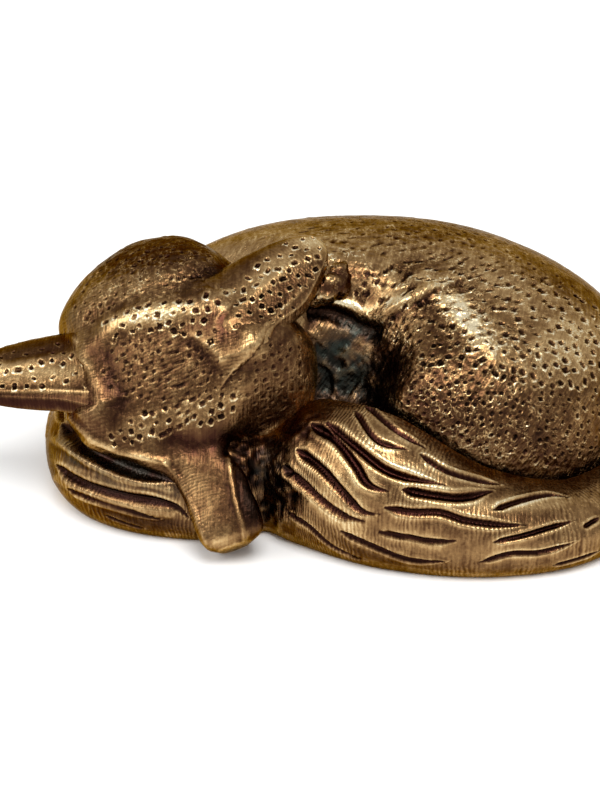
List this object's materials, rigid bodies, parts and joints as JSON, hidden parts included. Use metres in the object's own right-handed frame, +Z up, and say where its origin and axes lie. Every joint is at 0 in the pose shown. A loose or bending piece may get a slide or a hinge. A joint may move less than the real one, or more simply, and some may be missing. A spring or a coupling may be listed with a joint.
{
  "type": "animal figurine",
  "caption": "Curled sleeping fox ornament in antiqued brass, muzzle and carved brush wrapped round the front, hollow underneath, resting flat on its rim.",
  "frame": {"origin": "middle of the footprint, on the surface that the ornament stands on", "axes": "+X to the right as you face the muzzle, +Y away from you to the back, +Z up"},
  "size_m": [0.1198, 0.0756, 0.0442],
  "materials": {
    "antique_brass": "cast, punched and filed, brown patina rubbed back on the high places",
    "solder": "rough as run",
    "fixing_steel": "plain zinc"
  },
  "bodies": {
    "root": {"body_casting": "antique_brass", "head_casting": "antique_brass", "left_ear": "antique_brass", "right_ear": "antique_brass", "tail_casting": "antique_brass", "neck_stud": "fixing_steel", "neck_washer": "fixing_steel", "neck_nut": "fixing_steel", "tail_screws": "fixing_steel", "tail_washers": "fixing_steel", "ear_tip_solder": "solder"}
  },
  "joints": []
}
